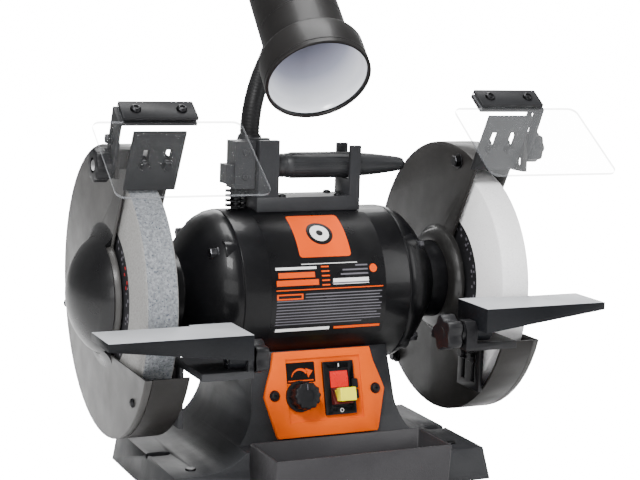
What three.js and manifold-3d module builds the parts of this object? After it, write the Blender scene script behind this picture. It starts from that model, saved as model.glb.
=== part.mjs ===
// Eight-inch variable-speed bench grinder with a flexible work light.
// Millimetres, +X along the spindle to the user's right, +Y to the rear, +Z up.
// The origin is on the bench, below the middle of the whole machine.
// The parts are drawn with y = 0 at the spindle; CENTRE_Y moves them to the middle.
import * as THREE from 'three';
import { mergeVertices } from 'three/addons/utils/BufferGeometryUtils.js';
import Module from 'manifold-3d';

const wasm = await Module();
wasm.setup();

// Driving dimensions. Everything above the base is measured from the spindle's axis.
const GAP = 0.3;
const AXIS_HEIGHT = 162;
const CENTRE_Y = 14.83;
const SHAFT = { radius: 7.9, half: 187 };
const WHEEL = { radius: 101.6, inner: 141.8, outer: 167.2 };
const GUARD = { inner: 135.7, plate: 2.3, rimEnd: 165, outer: 171, radius: 118, wall: 2.4, y: -3.6, z: 3 };
const MOUTH = { topDeg: 61, lipZ: { left: -45, right: -34 } };
const DOME = { radius: 47, length: 28.5, wall: 2.2 };
const MOTOR = { radius: 66.5, half: 74, neck: 33.5, wall: 3.5 };
const BELL = [[74.3, 66.5], [80, 65.4], [88, 61.5], [96, 54], [103, 45.5], [109, 37.5], [113, 33.5]];
const BEARING = { from: 109.6, to: 121.4, radius: 17.5 };
const BASE = { foot: 5, top: 31, ledge: 46, front: 88, rear: 60, half: 138, draft: 4, wall: 5 };
const COLUMN = { half: 64, topHalf: 60.5, flare: 50, top: 125 };
const FEET = { radius: 11, x: 118, front: -68, rear: 44 };
const SLOT = { x: 124, length: 9, y: -20, radius: 5.5 };
const PANEL = { height: 70, thick: 4, lean: 0.281, y: -73.2, z: 50.2, recess: 2, knobX: -23, knobZ: 33 };
const TRAY = { half: 76.2, front: 142.3, rear: 88.5, top: 54, bottom: 8, wall: 2 };
const REST = { near: 99.5, far: 211, front: -148, rear: -105.5, thick: 19.5, thin: 6, pivotY: -127, drop: 21.7 };
const REST_EAR = { left: 94, right: 88.5 };
const REST_TOP = { left: -6.8, right: 1.7 };
const DEFLECTOR = { low: 104.5, high: 158, inner: 130, outer: 172, thick: 2.5, lift: { left: 0, right: 14 } };
const SHIELD = { half: 58.5, length: 81, thick: 2, centre: 150.5, tilt: 35.5, y: -28, z: 34.2 };
const STRIP = { inner: 126, outer: 184.3, length: 20, thick: 2.5 };
const PIVOT = { y: -63, z: 116.5, lift: { left: -5.2, right: 5.3 }, inset: { left: 0, right: 7 } };
const CRADLE = { half: 15, from: -45, to: 48.8, barTop: 77, blockTop: 124, floor: 90.5, gripZ: 102 };
const POSTS = { from: 39.3, top: 119.3, gap: 22.4 };
const CUTTER = { x: -58, radius: 9.5, discs: 4, from: 68.3, pitch: 4 };
const LAMP = { neck: 8.3, socket: 8.75, pivot: 150, bend: 0.428 };
const LAMP_MOUTH = new THREE.Vector3(-13.6, -60, 175.9);
const LAMP_AXIS = new THREE.Vector3(0.058, 0.739, 0.671).normalize();
const NECK_POINTS = [
  [-36, 27, 117.3], [-36, 27, 131], [-33, 29, 150], [-24, 37, 171], [-8, 54, 192], [7, 77, 211],
  [17, 101, 229], [21, 118.2, 249], [18.5, 118.2, 269], [11, 105, 286], [3.5, 86, 295.5],
];

// Colours
const finish = (color, roughness, metalness = 0) =>
  new THREE.MeshStandardMaterial({ color, roughness, metalness });
const darkPaint = finish(0x2b2c2e, 0.5);
const blackPaint = finish(0x121315, 0.3);
const blackPlastic = finish(0x17181a, 0.55);
const steel = finish(0xa9adb2, 0.35, 1);

// Solids
function signedVolume(points, triangles) {
  const [a, b, c] = [new THREE.Vector3(), new THREE.Vector3(), new THREE.Vector3()];
  let total = 0;
  for (let i = 0; i < triangles.length; i += 3) {
    a.fromArray(points, 3 * triangles[i]);
    b.fromArray(points, 3 * triangles[i + 1]);
    c.fromArray(points, 3 * triangles[i + 2]);
    total += a.dot(b.cross(c));
  }
  return total;
}

function manifoldOf(geometry) {
  geometry.deleteAttribute('normal');
  geometry.deleteAttribute('uv');
  const merged = mergeVertices(geometry, 1e-4);
  const triVerts = Uint32Array.from(merged.index.array);
  const vertProperties = Float32Array.from(merged.attributes.position.array);
  if (signedVolume(vertProperties, triVerts) < 0) {
    for (let i = 0; i < triVerts.length; i += 3) {
      [triVerts[i + 1], triVerts[i + 2]] = [triVerts[i + 2], triVerts[i + 1]];
    }
  }
  return new wasm.Manifold(new wasm.Mesh({ numProp: 3, vertProperties, triVerts }));
}

function part(parent, name, solid, material) {
  const { vertProperties, triVerts } = solid.getMesh();
  const geometry = new THREE.BufferGeometry();
  geometry.setAttribute('position', new THREE.BufferAttribute(Float32Array.from(vertProperties), 3));
  geometry.setIndex(Array.from(triVerts));
  geometry.computeVertexNormals();
  const mesh = new THREE.Mesh(geometry, material);
  mesh.name = name;
  parent.add(mesh);
  return mesh;
}

const outline = (points) => new THREE.Shape(points.map(([u, v]) => new THREE.Vector2(u, v)));

const extruded = (shape, depth, curveSegments = 8) =>
  new THREE.ExtrudeGeometry(shape, { depth, bevelEnabled: false, curveSegments });

// A (y, z) outline swept along X between two places, in either order
function alongX(shape, a, b, segments) {
  const turn = new THREE.Matrix4().makeBasis(
    new THREE.Vector3(0, 1, 0), new THREE.Vector3(0, 0, 1), new THREE.Vector3(1, 0, 0));
  const geometry = extruded(shape, Math.abs(b - a), segments).applyMatrix4(turn);
  return manifoldOf(geometry.translate(Math.min(a, b), 0, 0));
}

// An (x, z) outline swept along Y
function alongY(shape, from, to, segments) {
  const geometry = extruded(shape, to - from, segments).rotateX(Math.PI / 2);
  return manifoldOf(geometry.translate(0, to, 0));
}

const alongZ = (shape, from, to, segments) =>
  manifoldOf(extruded(shape, to - from, segments).translate(0, 0, from));

function box(x0, x1, y0, y1, z0, z1) {
  const geometry = new THREE.BoxGeometry(Math.abs(x1 - x0), Math.abs(y1 - y0), Math.abs(z1 - z0));
  return manifoldOf(geometry.translate((x0 + x1) / 2, (y0 + y1) / 2, (z0 + z1) / 2));
}

// A profile of [place along the axis, radius] pairs turned about X, Y or Z
function turned(profile, axis = 'x', segments = 48) {
  const points = profile.map(([along, radius]) => new THREE.Vector2(radius, along));
  if (profile[0][1] > 0) points.push(points[0].clone());
  const geometry = new THREE.LatheGeometry(points, segments);
  if (axis === 'x') geometry.rotateZ(-Math.PI / 2);
  if (axis === 'z') geometry.rotateX(Math.PI / 2);
  return manifoldOf(geometry);
}

const rod = (radius, from, to, axis, segments) =>
  turned([[from, 0], [from, radius], [to, radius], [to, 0]], axis, segments);

const ring = (outer, inner, from, to, axis, segments) =>
  turned([[from, inner], [from, outer], [to, outer], [to, inner]], axis, segments);

// A profile about X for the right-hand side, or its mirror image for the left
const sided = (side, profile, segments) =>
  turned(profile.map(([along, radius]) => [side * along, radius]), 'x', segments);

function polar(radius, degrees) {
  const angle = THREE.MathUtils.degToRad(degrees);
  return [-radius * Math.cos(angle), radius * Math.sin(angle)];
}

// Knob with rounded lobes, turned about X from one place to another
function lobedOutline(radius, depth, lobes, steps = 45) {
  const points = [];
  for (let i = 0; i < steps; i += 1) {
    const angle = (i / steps) * 2 * Math.PI;
    const reach = radius - depth * (0.5 - 0.5 * Math.cos(lobes * angle));
    points.push([reach * Math.cos(angle), reach * Math.sin(angle)]);
  }
  return outline(points);
}

// Base: a hollow casting with a flared foot, a leaning front and a saddle for the motor
function pedestalFront(inset) {
  const { top, half, draft } = BASE;
  const low = inset ? -1 : BASE.foot;
  const centreX = COLUMN.half + COLUMN.flare;
  const centreZ = top + COLUMN.flare;
  const shape = new THREE.Shape();
  shape.moveTo(inset - half - draft, low);
  shape.lineTo(half + draft - inset, low);
  shape.lineTo(half - inset, top - inset);
  shape.absarc(centreX, centreZ, COLUMN.flare + inset, -Math.PI / 2, -Math.PI, true);
  shape.lineTo(COLUMN.topHalf - inset, COLUMN.top);
  shape.lineTo(inset - COLUMN.topHalf, COLUMN.top);
  shape.absarc(-centreX, centreZ, COLUMN.flare + inset, 0, -Math.PI / 2, true);
  shape.lineTo(inset - half, top - inset);
  return shape;
}

function pedestalSide(inset) {
  const { top, ledge, front, rear } = BASE;
  const low = inset ? -1 : BASE.foot;
  const back = (PANEL.thick + GAP) / Math.cos(PANEL.lean);
  const faceY = (z) => PANEL.y + back + (z - PANEL.z) * Math.tan(PANEL.lean) + inset;
  return outline([
    [inset - front - 7, low], [inset - front, top - inset], [inset - front, ledge - inset],
    [faceY(ledge - inset), ledge - inset], [faceY(COLUMN.top), COLUMN.top],
    [52 - inset, COLUMN.top], [rear - 2 - inset, ledge], [rear - inset, top], [rear + 2 - inset, low],
  ]);
}

function footSlot(side) {
  const { x, length, y, radius } = SLOT;
  const near = alongZ(outline([[x, y - radius], [x + length, y - radius], [x + length, y + radius],
    [x, y + radius]].map(([u, v]) => [side * u, v])), 1, 60);
  const end = (at) => rod(radius, 1, 60, 'z', 20).translate([side * at, y, 0]);
  return near.add(end(x)).add(end(x + length));
}

function baseCasting() {
  const block = (inset) => alongY(pedestalFront(inset), -120, 100, 9)
    .intersect(alongX(pedestalSide(inset), -160, 160));
  const along = (radius) => rod(radius, -200, 200, 'x', 64).translate([0, 0, AXIS_HEIGHT]);
  const hollow = block(BASE.wall).subtract(along(MOTOR.radius + 7));
  const window = inPanelFrame(box(-33, 33, 2, 30, 12, 60));
  const glandHole = rod(8.3, 30, 90, 'y', 24).translate([-30, 0, 52]);
  return block(0).subtract(hollow).subtract(along(MOTOR.radius + GAP)).subtract(window)
    .subtract(footSlot(-1)).subtract(footSlot(1)).subtract(glandHole).subtract(rod(7, 60, 110, 'z', 20));
}

const rubberFoot = (x, y) => turned([[0, 0], [0, 9.5], [1.5, FEET.radius], [25.7, FEET.radius], [25.7, 0]], 'z', 24)
  .translate([x, y, 0]);

const capacitor = () => turned([[-38, 0], [-38, 15], [-36, 16], [36, 16], [38, 14], [44, 14], [44, 0]], 'x', 28)
  .translate([16, 34.5, 46]);

const cordGland = () => turned([[51, 3.6], [51, 8], [59, 8], [59, 11.5], [63, 11.5], [64, 8.6], [71, 7.4],
  [72.5, 3.6]], 'y', 18).translate([-30, 0, 52]);

function quenchTray() {
  const { front, rear, top, bottom, wall, half } = TRAY;
  const side = (inset) => outline([
    [inset - front + 4.3, bottom + inset], [inset - front, top + 3 * inset], [-rear - inset, top + 3 * inset],
    [-rear - inset, BASE.top], [-rear - 6.8 - inset, bottom + inset]]);
  return alongX(side(0), -half, half).subtract(alongX(side(wall), wall - half, half - wall));
}

// Control panel, in a frame with X across, -Y out of its face and Z up its slope
const inPanelFrame = (solid) =>
  solid.rotate([-THREE.MathUtils.radToDeg(PANEL.lean), 0, 0]).translate([0, PANEL.y, PANEL.z]);

function controlPanel() {
  const half = [[44.3, 0], [45.7, 2.4], [54, 34.5], [52, 41], [46, 57.5], [43.3, PANEL.height]];
  const shape = outline([...half, ...half.map(([u, v]) => [-u, v]).reverse()]);
  const recess = box(-33.5, 33.5, -1, PANEL.recess, 12, 63.5);
  const switchHole = box(0.2, 25.4, -1, 9, 17, 58.4);
  const knobHole = rod(4, -1, 9, 'y', 20).translate([PANEL.knobX, 0, PANEL.knobZ]);
  return inPanelFrame(alongY(shape, 0, PANEL.thick).subtract(recess).subtract(switchHole).subtract(knobHole));
}

function switchHousing() {
  const flange = box(-1, 26.6, -1.2, PANEL.recess - GAP, 15.8, 59.5);
  const pocket = box(4.6, 21.6, -2, 15, 22, 53.5);
  return inPanelFrame(flange.add(box(0.5, 25.1, 0, 26, 17.3, 58.1)).subtract(pocket));
}

function switchRocker() {
  const shape = outline([[9, 24.5], [9, 51], [-1, 52.6], [-0.4, 37.8], [-7.4, 24], [2, 24]]);
  return inPanelFrame(alongX(shape, 5, 21.2).subtract(box(7.4, 20.8, -20, 5, 27.7, 36.2)));
}

const safetyKey = () =>
  inPanelFrame(box(6.9, 21.3, -14.5, -6.6, 26.2, 37.2).add(box(7.8, 20.4, -8, 4, 28.1, 35.8)));

function speedKnob() {
  const lobes = alongY(lobedOutline(12.4, 1.1, 8, 48), -12, 0).add(rod(9.4, -13.4, -11, 'y', 32));
  const pointer = box(-1.1, 1.1, -14.2, -11, -1, 11);
  const skirt = rod(13, -2, -0.4, 'y', 32).add(rod(9.8, -1, PANEL.recess - GAP, 'y', 32));
  return inPanelFrame(lobes.add(skirt).add(pointer)
    .subtract(rod(3.2, -8, 5, 'y', 20)).translate([PANEL.knobX, 0, PANEL.knobZ]));
}

function speedBoard() {
  const pot = rod(8, 5, 16.5, 'y', 24).add(rod(2.9, -7.6, 6, 'y', 20));
  return inPanelFrame(box(-31, -3, 16, 17.6, 14, 56).add(box(-27, -8, 17, 27, 42, 54))
    .add(pot.translate([PANEL.knobX, 0, PANEL.knobZ])));
}

// Motor
function motorHousing() {
  return ring(MOTOR.radius, MOTOR.radius - MOTOR.wall, -MOTOR.half, MOTOR.half, 'x', 60)
    .subtract(rod(6, -80, -50, 'z', 20));
}

function endBell(side) {
  const end = GUARD.inner - GAP;
  const pocket = [[121.7, 12.8], [121.7, 17.8], [109.3, 17.8], [109.3, 12.8]];
  const inside = [[104, 12.8], [96, 46], [82, 57], [69.5, 60], [69.5, 62.6], [74.3, 62.6]];
  return sided(side, [...BELL, [end, MOTOR.neck], [end, 12.8], ...pocket, ...inside], 40);
}

function statorWindings() {
  const half = [[46, 34.4], [52, 40], [52, 56], [32.4, 58], [32.4, 35.6]];
  return turned([...half, ...half.map(([x, r]) => [-x, r]).reverse()], 'x', 32);
}

const bore = SHAFT.radius + GAP;

function spindle() {
  const { radius, half } = SHAFT;
  return turned([[-half, 0], [-half, radius - 1], [1 - half, radius], [half - 1, radius], [half, radius - 1],
    [half, 0]], 'x', 32);
}

const bearing = (side) => sided(side, [[BEARING.from, bore], [BEARING.from, BEARING.radius],
  [BEARING.to, BEARING.radius], [BEARING.to, bore]], 28);

// Wheels and what clamps them
function grindingWheel(side) {
  const { radius, inner, outer } = WHEEL;
  return sided(side, [[inner, bore], [inner, radius - 1], [inner + 1, radius], [outer - 1, radius],
    [outer, radius - 1], [outer, bore]], 60);
}

const innerFlange = (side) => sided(side, [[121.9, bore], [121.9, 12], [138.3, 12], [138.3, 36],
  [WHEEL.inner - GAP, 38], [WHEEL.inner - GAP, 26], [140.6, 26], [140.6, bore]], 28);

function outerFlange(side) {
  const start = WHEEL.outer + GAP;
  return sided(side, [[start + 0.9, bore], [start + 0.9, 26], [start, 26], [start, 38], [start + 3, 36],
    [start + 3, bore]], 28);
}

const spindleNut = (side) => sided(side, [[170.8, 0], [170.8, 13.9], [181.8, 13.9], [181.8, 0]], 6)
  .subtract(rod(bore, -200, 200, 'x', 32));

// Guards: an inner half on the motor, and an outer cover with a domed hub
const handOf = (side) => (side < 0 ? 'left' : 'right');

function mouthCut(side) {
  const lip = MOUTH.lipZ[handOf(side)];
  return alongX(outline([[0, 0], polar(190, MOUTH.topDeg), [-190, lip], [0, lip]]), side * 100, side * 190);
}

// A plate set radially at the upper lip, 'behind' its plane when the places are positive
const lipPlate = (side, x0, x1, low, high, near, far) =>
  box(side * x0, side * x1, near, far, low, high).rotate([90 - MOUTH.topDeg, 0, 0]);

// Two long holes up the lip, which the deflector's bolts slide in
const lipSlots = (side, low, high) =>
  lipPlate(side, 138.4, 143.6, low, high, -9, 9).add(lipPlate(side, 156.4, 161.6, low, high, -9, 9));

function guardBody(side) {
  const { inner, plate, rimEnd, radius, wall, y, z } = GUARD;
  const disc = (r, from, to) => rod(r, from, to, 'x', 60).translate([0, y, z]);
  const span = (a, b) => [Math.min(side * a, side * b), Math.max(side * a, side * b)];
  const room = disc(radius - wall, ...span(inner + plate, 190));
  const front = box(side * 130, side * 150, -150, -79, -110, 10).intersect(disc(radius - wall, ...span(130, 190)));
  const collar = rod(MOTOR.neck, ...span(inner, inner + plate), 'x', 48);
  const shell = disc(radius, ...span(inner, rimEnd)).subtract(room).subtract(front)
    .subtract(mouthCut(side)).add(collar);
  const tabStart = 181.2 - PIVOT.inset[handOf(side)];
  const lip = lipPlate(side, inner, rimEnd, 117, 141, 0, 3).add(lipPlate(side, 164, tabStart, 123, 141, 0, 3));
  const holes = lipSlots(side, 124, 142);
  return shell.subtract(rod(20, -200, 200, 'x', 32)).add(lip.subtract(holes)).add(shieldEar(side));
}

function shieldEar(side) {
  const { y, z } = PIVOT;
  const slot = new THREE.Shape();
  slot.absarc(y, z + 8, 3.5, 0, Math.PI, false);
  slot.absarc(y, z - 8, 3.5, Math.PI, 2 * Math.PI, false);
  const tab = outline([[y - 9, z - 15], [y + 9, z - 15], [y + 9, z + 17], [y - 9, z + 17]]);
  const outer = STRIP.outer - PIVOT.inset[handOf(side)];
  return alongX(tab, side * (outer - 3.5), side * outer).subtract(alongX(slot, side * 150, side * 190));
}

function guardCover(side) {
  const { rimEnd, outer, radius, y, z } = GUARD;
  const { length, wall } = DOME;
  const face = outer - 1.8;
  const profile = (grow) => [[face - grow, 0], [face - grow, DOME.radius - grow], [outer, DOME.radius - grow],
    [outer + 0.16 * length, 44.5 - grow], [outer + 0.5 * length, 37.5 - grow], [outer + 0.8 * length, 25 - grow],
    [outer + 0.96 * length - grow / 2, 12 - grow], [outer + length - grow, 0]];
  const pan = sided(side, [[rimEnd + GAP, radius - 1.8], [rimEnd + GAP, radius], [outer - 1, radius],
    [outer, radius - 1], [outer, 0], [face, 0], [face, radius - 1.8], [rimEnd + GAP, radius - 1.8]].slice(0, 7), 60);
  const dome = sided(side, profile(0), 32).subtract(sided(side, profile(wall), 32));
  return pan.translate([0, y, z]).subtract(mouthCut(side)).subtract(sided(side, profile(0), 32)).add(dome);
}

function sparkDeflector(side) {
  const { low, high, inner, outer, thick, lift } = DEFLECTOR;
  const up = lift[handOf(side)];
  return lipPlate(side, inner, outer, low + up, high + up, -GAP - thick, -GAP)
    .subtract(lipSlots(side, 124 + up, 142 + up));
}

// Tool rests, placed by the height of their top face
function restBracket(side) {
  const { pivotY, drop } = REST;
  const ear0 = REST_EAR[handOf(side)];
  const bar = box(side * ear0, side * 135.4, -136, -78, -36, -30);
  const strap = box(side * 131.6, side * 135.4, -86, -50, -85, -30);
  const slots = [-76, -60].map((y) => box(side * 120, side * 140, y - 2.7, y + 2.7, -78, -46));
  const ear = alongX(outline([[pivotY - 9, -34], [pivotY - 9, -19], [pivotY - 5, -12.5], [pivotY + 5, -12.5],
    [pivotY + 9, -19], [pivotY + 9, -34]]), side * ear0, side * 98.6);
  const boltHole = rod(4.2, -130, 130, 'x', 20).translate([0, pivotY, -drop]);
  return bar.add(strap).add(ear).subtract(boltHole).subtract(slots[0]).subtract(slots[1]);
}

function toolRest(side) {
  const { near, far, front, rear, thick, thin, pivotY, drop } = REST;
  const wedge = alongY(outline([[near, 0], [far, 0], [far, -thin], [near, -thick]].map(([x, z]) => [side * x, z])),
    front, rear + 4.5);
  const notch = box(side * 134, side * 240, rear, rear + 20, -30, 10);
  const lug = alongX(outline([[pivotY - 7, -18], [pivotY + 7, -18], [pivotY + 7, -24], [pivotY + 3, -29],
    [pivotY - 3, -29], [pivotY - 7, -24]]), side * near, side * 113);
  const boltHole = rod(4.2, -116, 116, 'x', 20).translate([0, pivotY, -drop]);
  return wedge.add(lug).subtract(notch).subtract(boltHole);
}

// The right knob stands off on a hub; the left one is close to its bracket
function restKnob(side) {
  const { pivotY, drop } = REST;
  const [radius, near, far] = side > 0 ? [15, 70, 83] : [13.5, 83, 93.7];
  const star = alongX(lobedOutline(radius, radius * 0.24, 5), side * near, side * far);
  const ends = [side * (near + 10), side * 112];
  const bolt = rod(3.9, Math.min(...ends), Math.max(...ends), 'x', 20);
  const knob = side > 0 ? star.add(ring(9, 3, 82, 88.2, 'x', 28)) : star;
  return knob.add(bolt).translate([0, pivotY, -drop]);
}

// Eye shields, in a frame at the knob's bolt; the sheet's own frame leans by its tilt
const inShieldFrame = (solid) =>
  solid.rotate([SHIELD.tilt, 0, 0]).translate([0, SHIELD.y, SHIELD.z]);

function roundedSheet(side) {
  const { half, length, centre } = SHIELD;
  const corner = 7;
  const [x0, x1] = [side * centre - half, side * centre + half];
  const shape = new THREE.Shape();
  shape.absarc(x0 + corner, corner - length, corner, Math.PI, 1.5 * Math.PI, false);
  shape.absarc(x1 - corner, corner - length, corner, 1.5 * Math.PI, 2 * Math.PI, false);
  shape.absarc(x1 - corner, -corner, corner, 0, 0.5 * Math.PI, false);
  shape.absarc(x0 + corner, -corner, corner, 0.5 * Math.PI, Math.PI, false);
  return shape;
}

function eyeShield(side) {
  const { thick } = SHIELD;
  const sheet = alongZ(roundedSheet(side), -thick / 2, thick / 2, 5);
  const inset = PIVOT.inset[handOf(side)];
  const tab = box(side * (STRIP.inner - inset), side * (STRIP.outer - inset), -2, STRIP.length, -thick / 2, thick / 2);
  return inShieldFrame(sheet.add(tab));
}

function stripPlate(side, outer, low) {
  const inset = PIVOT.inset[handOf(side)];
  return inShieldFrame(box(side * (STRIP.inner - inset), side * (outer - inset), 0.5, STRIP.length, low,
    low + STRIP.thick));
}

const shieldClamp = (side) => stripPlate(side, STRIP.outer, SHIELD.thick / 2 + GAP);

function shieldBracket(side) {
  const arm = outline([[-9.5, -4], [-4, -10], [4, -10], [10, -3], [-10.6, 44.2], [-26.5, 33]]);
  const slot = new THREE.Shape();
  slot.absarc(-11, 28, 2.7, -0.4, Math.PI - 0.4, false);
  slot.absarc(-5, 13, 2.7, Math.PI - 0.4, 2 * Math.PI - 0.4, false);
  const inset = PIVOT.inset[handOf(side)];
  const [a, b] = [side * (184.6 - inset), side * (187.1 - inset)];
  const plate = alongX(arm, a, b).subtract(alongX(slot, a - 5, b + 5, 6)).subtract(rod(3.3, -200, 200, 'x', 20));
  return plate.add(stripPlate(side, 187.1, -SHIELD.thick / 2 - GAP - STRIP.thick));
}

function shieldKnob(side) {
  const stud = rod(3, Math.min(side * 181.6, side * 192), Math.max(side * 181.6, side * 192), 'x', 20);
  return alongX(lobedOutline(13, 1.6, 6), side * 187.4, side * 199).add(stud)
    .translate([-side * PIVOT.inset[handOf(side)], 0, 0]);
}

// Wheel dresser and its cradle, on top of the motor
function dresserCradle() {
  const { half, from, to, barTop, blockTop, floor, gripZ } = CRADLE;
  const bar = box(from, to, -half, half, 56, barTop);
  const block = box(-43.5, -25.5, -14, 14, barTop - 1, blockTop).subtract(box(-50, -20, -7.5, 7.5, 94.6, 140));
  const clip = box(POSTS.from, to, -half, half, barTop - 1, POSTS.top)
    .subtract(box(30, 60, -POSTS.gap / 2, POSTS.gap / 2, floor, 140));
  const boss = box(-46.5, -25.5, 10, 38, 48, 92).add(rod(11.5, 80, 117, 'z', 32).translate([-36, 27, 0]));
  const motor = rod(MOTOR.radius + GAP, -80, 80, 'x', 64);
  const seat = rod(12, gripZ - 20, gripZ - 20.01, 'x', 8);
  return bar.add(block).add(clip).add(boss).subtract(motor).subtract(seat);
}

function dresserHandle() {
  const { gripZ } = CRADLE;
  const grip = turned([[-46, 0], [-46, 6], [-24.6, 6], [-24.6, 8.6], [-22, 9.4], [-10, 10.6], [10, 11], [30, 10.7],
    [50, 10.3], [60, 9.6], [90, 4.9], [95.5, 4], [97, 2.6], [97, 0]], 'x', 24).translate([0, 0, gripZ]);
  const head = box(-63, -45.3, -10, 10, 84, 123).add(box(-70, -62, -7, 7, 88, 104));
  return grip.add(head).add(rod(2.6, 67.4, 90, 'z', 16).translate([CUTTER.x, 0, 0]));
}

function dresserCutters() {
  const { x, radius, discs, from, pitch } = CUTTER;
  let stack = ring(4.6, 2.9, from, from + 15.2, 'z', 20);
  for (let i = 0; i < discs; i += 1) {
    const low = from + 0.4 + i * pitch;
    const star = alongZ(lobedOutline(radius, 2, 8, 32), low, low + 1.6);
    stack = stack.add(star.subtract(rod(4, low - 1, low + 3, 'z', 20)));
  }
  return stack.translate([x, 0, 0]);
}

// Work light on a flexible neck
function neckCurve() {
  const tail = [165, LAMP.pivot].map((along) => LAMP_AXIS.clone().multiplyScalar(along).add(LAMP_MOUTH));
  const points = [...NECK_POINTS.map(([x, y, z]) => new THREE.Vector3(x, y, z)), ...tail];
  return new THREE.CatmullRomCurve3(points, false, 'centripetal');
}

function neckLength(from, to, steps) {
  const whole = neckCurve();
  const points = [];
  for (let i = 0; i <= steps; i += 1) points.push(whole.getPointAt(from + ((to - from) * i) / steps));
  const path = new THREE.CatmullRomCurve3(points, false, 'centripetal');
  const section = outline(Array.from({ length: 12 }, (_, i) => polar(LAMP.neck, 30 * i)));
  return manifoldOf(new THREE.ExtrudeGeometry(section, { steps, extrudePath: path, bevelEnabled: false }));
}

// The neck bends at two balls: one part way along it and one behind the shade
const ball = (radius, [x, y, z]) =>
  turned(Array.from({ length: 9 }, (_, i) => {
    const angle = (Math.PI * i) / 8;
    return [-radius * Math.cos(angle), i % 8 ? radius * Math.sin(angle) : 0];
  }), 'z', 16).translate([x, y, z]);

function gooseneckLower() {
  return neckLength(0, LAMP.bend, 15).add(ball(LAMP.neck, neckCurve().getPointAt(LAMP.bend).toArray()));
}

function gooseneckUpper() {
  const whole = neckCurve();
  return neckLength(LAMP.bend, 1, 20).subtract(ball(LAMP.socket, whole.getPointAt(LAMP.bend).toArray()))
    .add(ball(LAMP.neck, whole.getPointAt(1).toArray()));
}

const lampShade = () => turned([[130.5, 0], [129, 16], [121.5, 27], [110.5, 32.2], [30, 33], [27, 35.2],
  [23.6, 41.5], [0, 41.5], [0, 43.3], [25, 43.3], [28.5, 35.6], [31, 35], [112, 34.4], [124, 29], [132, 17],
  [133, 11], [146, 11], [146, 0]], 'z', 32).subtract(ball(LAMP.socket, [0, 0, LAMP.pivot]));

const lampReflector = () => turned([[2, 41.1], [22, 38.2], [31, 31.6], [60, 30], [72, 24], [76, 16.5], [76, 15],
  [74.5, 15], [71, 22.4], [59, 28.4], [31, 30], [22, 36.6], [2, 39.6]], 'z', 32);

const lampBulb = () => turned([[46, 0], [48, 9.5], [54, 14.3], [62, 15], [70, 13], [78, 12.5], [128.7, 12.5],
  [128.7, 0]], 'z', 28);

// Assembly
const bench = new THREE.Group();
const grinder = new THREE.Group();
grinder.position.y = CENTRE_Y;
bench.add(grinder);
const head = new THREE.Group();
head.position.z = AXIS_HEIGHT;
grinder.add(head);

part(grinder, 'base_casting', baseCasting(), darkPaint);
for (const [end, x] of [['left', -FEET.x], ['right', FEET.x]]) {
  part(grinder, `rubber_foot_front_${end}`, rubberFoot(x, FEET.front), finish(0x1a1a1a, 0.9));
  part(grinder, `rubber_foot_rear_${end}`, rubberFoot(x, FEET.rear), finish(0x1a1a1a, 0.9));
}
part(grinder, 'run_capacitor', capacitor(), finish(0xb9bcc0, 0.4, 0.8));
part(grinder, 'cord_gland', cordGland(), blackPlastic);
part(grinder, 'quench_tray', quenchTray(), darkPaint);
part(grinder, 'control_panel', controlPanel(), finish(0xf58a1f, 0.45));
part(grinder, 'switch_housing', switchHousing(), blackPlastic);
part(grinder, 'switch_rocker', switchRocker(), finish(0xe23a30, 0.4));
part(grinder, 'safety_key', safetyKey(), finish(0xf6e66a, 0.4));
part(grinder, 'speed_knob', speedKnob(), blackPlastic);
part(grinder, 'speed_board', speedBoard(), finish(0x1e6b3a, 0.6));

part(head, 'motor_housing', motorHousing(), blackPaint);
part(head, 'stator_core', ring(62.6, 36, -32, 32, 'x', 40), steel);
part(head, 'stator_windings', statorWindings(), finish(0xb5652a, 0.4, 0.7));
part(head, 'rotor_core', ring(33.6, bore, -31, 31, 'x', 36), steel);
part(head, 'spindle', spindle(), steel);

for (const [name, side] of [['left', -1], ['right', 1]]) {
  part(head, `${name}_end_bell`, endBell(side), blackPaint);
  part(head, `${name}_bearing`, bearing(side), steel);
  part(head, `${name}_inner_flange`, innerFlange(side), steel);
  const stone = name === 'left' ? finish(0x8f9aa5, 0.95) : finish(0xf1f0ee, 0.95);
  part(head, `${name}_wheel`, grindingWheel(side), stone);
  part(head, `${name}_outer_flange`, outerFlange(side), steel);
  part(head, `${name}_spindle_nut`, spindleNut(side), steel);
  part(head, `${name}_guard_body`, guardBody(side), darkPaint);
  part(head, `${name}_guard_cover`, guardCover(side), darkPaint);
  part(head, `${name}_spark_deflector`, sparkDeflector(side), darkPaint);

  const rest = new THREE.Group();
  rest.position.z = REST_TOP[name];
  head.add(rest);
  part(rest, `${name}_rest_bracket`, restBracket(side), darkPaint);
  part(rest, `${name}_tool_rest`, toolRest(side), finish(0xc9ccd0, 0.4, 0.8));
  part(rest, `${name}_rest_knob`, restKnob(side), blackPlastic);

  const shield = new THREE.Group();
  shield.position.set(0, PIVOT.y, PIVOT.z + PIVOT.lift[name]);
  head.add(shield);
  part(shield, `${name}_shield_bracket`, shieldBracket(side), darkPaint);
  part(shield, `${name}_eye_shield`, eyeShield(side), finish(0xdfe7ea, 0.1));
  part(shield, `${name}_shield_clamp`, shieldClamp(side), darkPaint);
  part(shield, `${name}_shield_knob`, shieldKnob(side), blackPlastic);
}

part(head, 'dresser_cradle', dresserCradle(), darkPaint);
part(head, 'dresser_handle', dresserHandle(), darkPaint);
part(head, 'dresser_cutters', dresserCutters(), steel);
part(head, 'gooseneck_lower', gooseneckLower(), blackPlastic);
part(head, 'gooseneck_upper', gooseneckUpper(), blackPlastic);

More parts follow.
